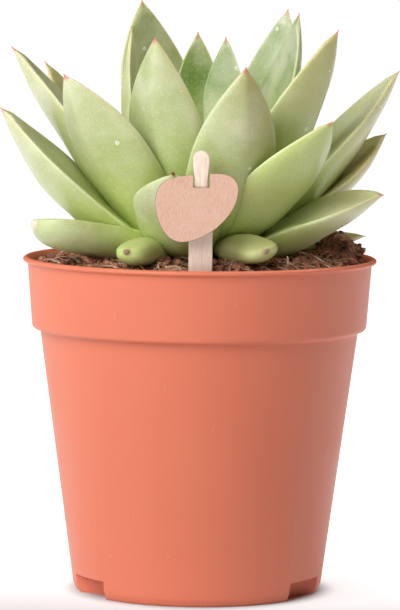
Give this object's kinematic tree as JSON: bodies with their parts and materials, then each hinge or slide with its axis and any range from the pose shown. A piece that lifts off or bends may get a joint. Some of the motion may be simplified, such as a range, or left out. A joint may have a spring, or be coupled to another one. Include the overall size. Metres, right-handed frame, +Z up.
{
  "type": "potted miranda echeveria",
  "caption": "Rosette succulent with thick pointed pale green leaves in a tapering plastic nursery pot, with a wooden stake and a plain tag.",
  "frame": {"origin": "bottom centre of the whole object's box, on the ground under the pot", "axes": "+Z up along the pot, -Y towards the side with the stake and tag, +X to the right seen from there"},
  "size_m": [0.1334, 0.12, 0.1994],
  "materials": {
    "leaf": "waxy pale green leaf flesh with a soft satin sheen, paler rims and a pink tip",
    "heart": "younger leaf flesh of a deeper green, satin",
    "soil": "dark brown peat mix, rough, with fibres and chips of bark",
    "pot": "moulded terracotta-coloured plastic with a soft sheen",
    "stake": "pale smooth wood with a fine straight grain",
    "tag": "thin light brown wood board, matte, with paler cut edges"
  },
  "bodies": {
    "root": {"leaf_back_1": "leaf", "leaf_back_2": "leaf", "leaf_back_3": "leaf", "leaf_back_4": "leaf", "leaf_back_5": "leaf", "leaf_01": "leaf", "leaf_02": "leaf", "leaf_03": "leaf", "leaf_04": "leaf", "leaf_05": "leaf", "leaf_06": "leaf", "leaf_07": "leaf", "leaf_08": "leaf", "leaf_09": "leaf", "leaf_10": "leaf", "leaf_11": "leaf", "leaf_12": "leaf", "leaf_13": "leaf", "leaf_14": "leaf", "leaf_15": "leaf", "leaf_16": "leaf", "leaf_17": "leaf", "leaf_18": "leaf", "leaf_19": "leaf", "leaf_20": "leaf", "leaf_21": "leaf", "leaf_22": "leaf", "leaf_back_6": "leaf", "leaf_back_7": "leaf", "leaf_back_8": "leaf", "leaf_back_9": "leaf", "leaf_back_10": "leaf", "leaf_back_11": "leaf", "crown": "heart", "soil": "soil", "pot": "pot", "stake": "stake", "tag": "tag"}
  },
  "joints": []
}
